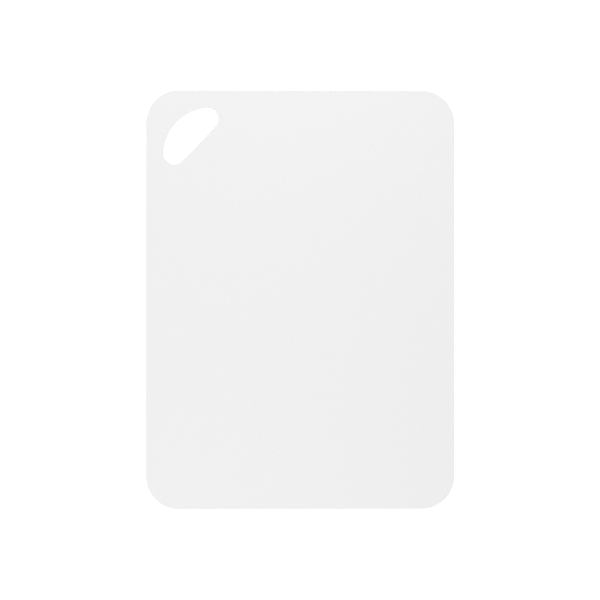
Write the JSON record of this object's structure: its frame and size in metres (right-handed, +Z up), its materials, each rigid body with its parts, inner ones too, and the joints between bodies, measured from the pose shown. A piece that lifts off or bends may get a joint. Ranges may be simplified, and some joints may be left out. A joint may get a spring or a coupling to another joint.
{
  "type": "flexible cutting mat",
  "caption": "Thin flexible white plastic cutting mat with rounded corners and a half-moon hanging hole in a corner; its long sides curl up into a chute.",
  "frame": {"origin": "centre of the sheet's footprint, at its underside, with the mat lying flat", "axes": "+Z up, out of the cutting face; +Y along the length, towards the end with the hanging hole; +X across the width, away from the hole"},
  "size_m": [0.28, 0.38, 0.001],
  "materials": {
    "sheet": "matte white polypropylene with a fine pebble grain"
  },
  "bodies": {
    "hole_panel": {"hole_panel": "sheet"},
    "left_bend_strip_5": {"left_bend_strip_5": "sheet"},
    "left_bend_strip_4": {"left_bend_strip_4": "sheet"},
    "left_bend_strip_3": {"left_bend_strip_3": "sheet"},
    "left_bend_strip_2": {"left_bend_strip_2": "sheet"},
    "left_bend_strip_1": {"left_bend_strip_1": "sheet"},
    "centre_strip": {"centre_strip": "sheet"},
    "right_bend_strip_1": {"right_bend_strip_1": "sheet"},
    "right_bend_strip_2": {"right_bend_strip_2": "sheet"},
    "right_bend_strip_3": {"right_bend_strip_3": "sheet"},
    "right_bend_strip_4": {"right_bend_strip_4": "sheet"},
    "right_bend_strip_5": {"right_bend_strip_5": "sheet"},
    "plain_panel": {"plain_panel": "sheet"}
  },
  "joints": [
    {"name": "left_curl", "type": "hinge", "parent": "centre_strip", "child": "left_bend_strip_1", "pos_m": [-0.00603, 0, 0.001], "axis": [0, 1, 0], "range_deg": [0, 15], "stiffness_Nm_per_rad": 3.13},
    {"name": "left_curl_2", "type": "hinge", "parent": "left_bend_strip_1", "child": "left_bend_strip_2", "pos_m": [-0.01808, 0, 0.001], "axis": [0, 1, 0], "range_deg": [0, 15], "stiffness_Nm_per_rad": 3.13},
    {"name": "left_curl_3", "type": "hinge", "parent": "left_bend_strip_2", "child": "left_bend_strip_3", "pos_m": [-0.03014, 0, 0.001], "axis": [0, 1, 0], "range_deg": [0, 15], "stiffness_Nm_per_rad": 3.13},
    {"name": "left_curl_4", "type": "hinge", "parent": "left_bend_strip_3", "child": "left_bend_strip_4", "pos_m": [-0.04219, 0, 0.001], "axis": [0, 1, 0], "range_deg": [0, 15], "stiffness_Nm_per_rad": 3.13},
    {"name": "left_curl_5", "type": "hinge", "parent": "left_bend_strip_4", "child": "left_bend_strip_5", "pos_m": [-0.05424, 0, 0.001], "axis": [0, 1, 0], "range_deg": [0, 15], "stiffness_Nm_per_rad": 3.13},
    {"name": "left_curl_6", "type": "hinge", "parent": "left_bend_strip_5", "child": "hole_panel", "pos_m": [-0.0663, 0, 0.001], "axis": [0, 1, 0], "range_deg": [0, 15], "stiffness_Nm_per_rad": 3.13},
    {"name": "right_curl", "type": "hinge", "parent": "centre_strip", "child": "right_bend_strip_1", "pos_m": [0.00603, 0, 0.001], "axis": [0, -1, 0], "range_deg": [0, 15], "stiffness_Nm_per_rad": 3.13},
    {"name": "right_curl_2", "type": "hinge", "parent": "right_bend_strip_1", "child": "right_bend_strip_2", "pos_m": [0.01808, 0, 0.001], "axis": [0, -1, 0], "range_deg": [0, 15], "stiffness_Nm_per_rad": 3.13},
    {"name": "right_curl_3", "type": "hinge", "parent": "right_bend_strip_2", "child": "right_bend_strip_3", "pos_m": [0.03014, 0, 0.001], "axis": [0, -1, 0], "range_deg": [0, 15], "stiffness_Nm_per_rad": 3.13},
    {"name": "right_curl_4", "type": "hinge", "parent": "right_bend_strip_3", "child": "right_bend_strip_4", "pos_m": [0.04219, 0, 0.001], "axis": [0, -1, 0], "range_deg": [0, 15], "stiffness_Nm_per_rad": 3.13},
    {"name": "right_curl_5", "type": "hinge", "parent": "right_bend_strip_4", "child": "right_bend_strip_5", "pos_m": [0.05424, 0, 0.001], "axis": [0, -1, 0], "range_deg": [0, 15], "stiffness_Nm_per_rad": 3.13},
    {"name": "right_curl_6", "type": "hinge", "parent": "right_bend_strip_5", "child": "plain_panel", "pos_m": [0.0663, 0, 0.001], "axis": [0, -1, 0], "range_deg": [0, 15], "stiffness_Nm_per_rad": 3.13}
  ],
  "couplings": [
    {"joint": "left_curl_2", "follows": "left_curl", "ratio": 1},
    {"joint": "left_curl_3", "follows": "left_curl", "ratio": 1},
    {"joint": "left_curl_4", "follows": "left_curl", "ratio": 1},
    {"joint": "left_curl_5", "follows": "left_curl", "ratio": 1},
    {"joint": "left_curl_6", "follows": "left_curl", "ratio": 1},
    {"joint": "right_curl_2", "follows": "right_curl", "ratio": 1},
    {"joint": "right_curl_3", "follows": "right_curl", "ratio": 1},
    {"joint": "right_curl_4", "follows": "right_curl", "ratio": 1},
    {"joint": "right_curl_5", "follows": "right_curl", "ratio": 1},
    {"joint": "right_curl_6", "follows": "right_curl", "ratio": 1}
  ]
}
